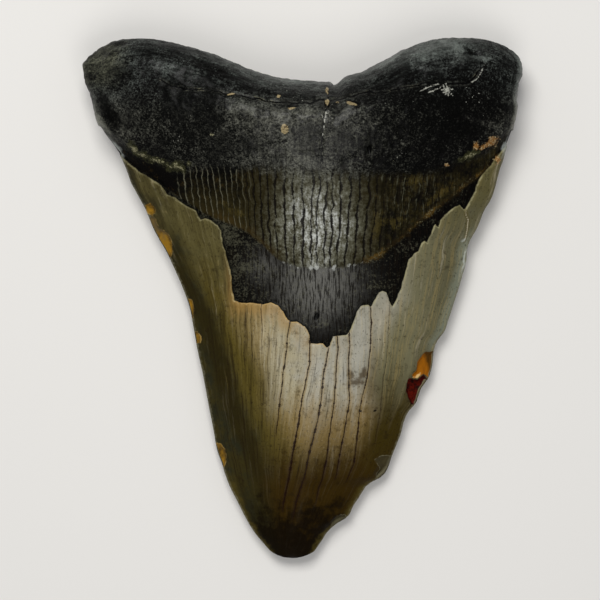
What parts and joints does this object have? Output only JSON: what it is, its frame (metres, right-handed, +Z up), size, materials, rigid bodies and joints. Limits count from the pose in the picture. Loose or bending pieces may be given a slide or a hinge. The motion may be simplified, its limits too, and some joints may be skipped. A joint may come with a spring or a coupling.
{
  "type": "fossil shark tooth",
  "caption": "Fossil megalodon tooth: broad triangular crown with broken enamel edge, bare ribbed bourlette and arched two-lobed root, lying on its lip side.",
  "frame": {"origin": "centre of the bounding box in plan, on the table the tooth lies on", "axes": "+Y from the tip to the root lobes, +X across the tooth, +Z up through its arched tongue side"},
  "size_m": [0.1096, 0.1302, 0.028],
  "materials": {
    "fossil_tooth": "Mineralised enamel, satin with a soft shine, grey-brown in the middle of the crown and dark olive at the edges; the bare band and the root are charcoal, matt and finely grained."
  },
  "bodies": {
    "root": {"tooth": "fossil_tooth"}
  },
  "joints": []
}
